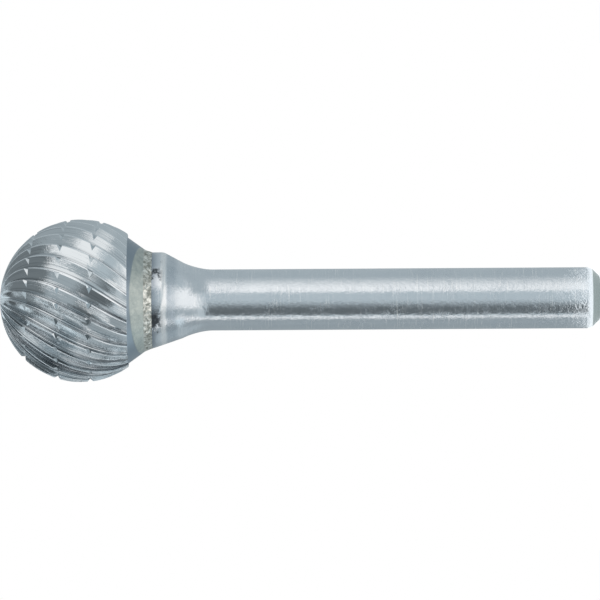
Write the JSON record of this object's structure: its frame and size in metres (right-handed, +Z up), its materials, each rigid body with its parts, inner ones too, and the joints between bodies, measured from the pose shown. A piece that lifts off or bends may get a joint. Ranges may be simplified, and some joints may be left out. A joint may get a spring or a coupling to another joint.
{
  "type": "ball-nosed carbide burr",
  "caption": "Ball-nosed rotary burr: a fluted carbide ball brazed to a flared, necked steel shank, for grinding and deburring metal.",
  "frame": {"origin": "centre of the flat end face of the shank, at its clamping end", "axes": "+Z runs up the tool's axis from the shank's end to the tip of the ball; -X is the side of the neck that was dressed after brazing"},
  "size_m": [0.016, 0.016, 0.059],
  "materials": {
    "carbide": "bright ground tungsten carbide, fine grinding lines along the flutes",
    "braze": "grainy silver-brass braze",
    "steel": "ground and worn tool steel"
  },
  "bodies": {
    "root": {"carbide_head": "carbide", "braze_joint": "braze", "shank": "steel"}
  },
  "joints": []
}
